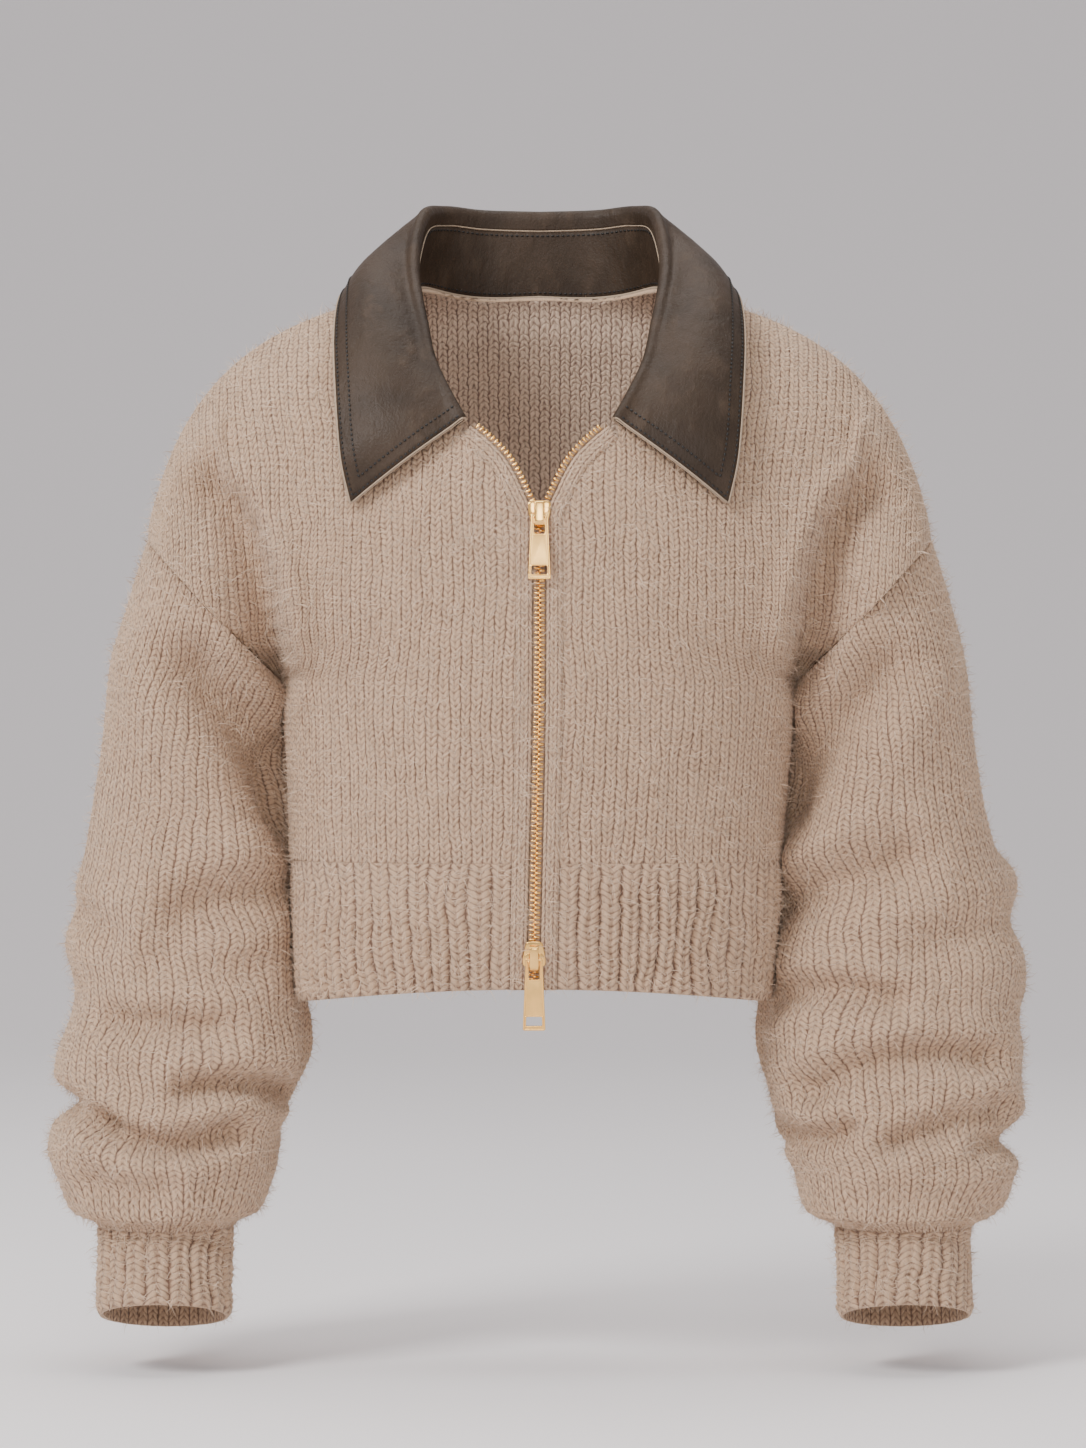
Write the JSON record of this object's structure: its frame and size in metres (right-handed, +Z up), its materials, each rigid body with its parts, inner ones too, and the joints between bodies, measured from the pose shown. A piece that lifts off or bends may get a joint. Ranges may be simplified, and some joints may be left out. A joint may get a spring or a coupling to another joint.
{
  "type": "cropped zip-up knit cardigan",
  "caption": "Cropped boxy cardigan in brushed knit with balloon sleeves, ribbed hem and cuffs, a wide leather collar and a two-way metal zip.",
  "frame": {"origin": "where the neck meets the shoulders: on the centre plane, midway between the two shoulder seams' neck ends in depth and 14 mm below the shoulder line's own centre", "axes": "+Z up, -Y the garment's front, +X the wearer's left"},
  "size_m": [0.6767, 0.2526, 0.7821],
  "materials": {
    "brushed_knit": "brushed stockinette with a long soft nap",
    "rib_knit": "brushed one by one rib",
    "collar_leather": "soft nappa, satin",
    "zip_tape": "woven tape",
    "pale_gold_metal": "polished pale gold plate"
  },
  "bodies": {
    "garment": {"back": "brushed_knit", "front_left": "brushed_knit", "front_right": "brushed_knit", "front_band_left": "brushed_knit", "front_band_right": "brushed_knit", "sleeve_left": "brushed_knit", "sleeve_right": "brushed_knit", "hem_rib_back": "rib_knit", "hem_rib_left": "rib_knit", "hem_rib_right": "rib_knit", "cuff_left": "rib_knit", "cuff_right": "rib_knit", "collar_stand": "collar_leather", "collar_leaf": "collar_leather", "zip_tape_left": "zip_tape", "zip_tape_right": "zip_tape", "slider_top": "pale_gold_metal", "slider_bottom": "pale_gold_metal"},
    "pull_top": {"pull_top": "pale_gold_metal"},
    "pull_bottom": {"pull_bottom": "pale_gold_metal"}
  },
  "joints": [
    {"name": "pull_top_hinge", "type": "hinge", "parent": "garment", "child": "pull_top", "pos_m": [0, -0.11856, -0.15365], "axis": [-1, 0, 0], "range_deg": [0, 150]},
    {"name": "pull_bottom_hinge", "type": "hinge", "parent": "garment", "child": "pull_bottom", "pos_m": [-0.00353, -0.11294, -0.44986], "axis": [-1, 0, 0], "range_deg": [0, 150]}
  ]
}
